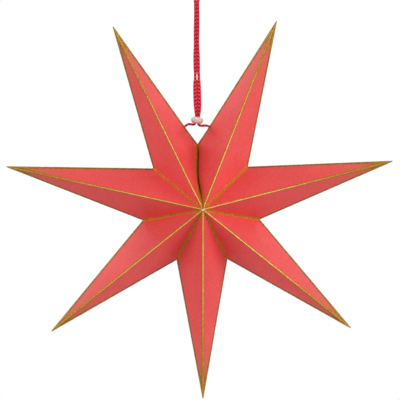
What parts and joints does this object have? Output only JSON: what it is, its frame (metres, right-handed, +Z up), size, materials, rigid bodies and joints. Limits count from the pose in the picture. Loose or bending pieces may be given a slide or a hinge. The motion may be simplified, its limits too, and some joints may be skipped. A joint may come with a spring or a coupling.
{
  "type": "paper advent star",
  "caption": "Large hanging star of folded red card with gold glitter lines, on a doubled red cord with a slide bead.",
  "frame": {"origin": "inside top of the cord's hanging loop, where the hook bears", "axes": "+Z up along the taut cord, the star faces -Y, +X to its right as seen from the front"},
  "size_m": [0.4482, 0.1204, 0.4898],
  "materials": {
    "red_card": "matt coral red card, softly uneven",
    "gold_glitter": "fine gold glitter, grainy",
    "red_cord": "braided crimson cord with a soft sheen",
    "frosted_bead": "frosted, slightly translucent beige"
  },
  "bodies": {
    "star": {"point_1": "red_card", "point_2": "red_card", "point_3": "red_card", "point_4": "red_card", "point_5": "red_card", "point_6": "red_card", "point_7": "red_card", "glitter_1": "gold_glitter", "glitter_2": "gold_glitter", "glitter_3": "gold_glitter", "glitter_4": "gold_glitter", "glitter_5": "gold_glitter", "glitter_6": "gold_glitter", "glitter_7": "gold_glitter", "cord": "red_cord"},
    "bead": {"slide_bead": "frosted_bead"}
  },
  "joints": [
    {"name": "bead_slide", "type": "slide", "parent": "star", "child": "bead", "axis": [0, 0, 1], "range_m": [0, 0.12]}
  ]
}
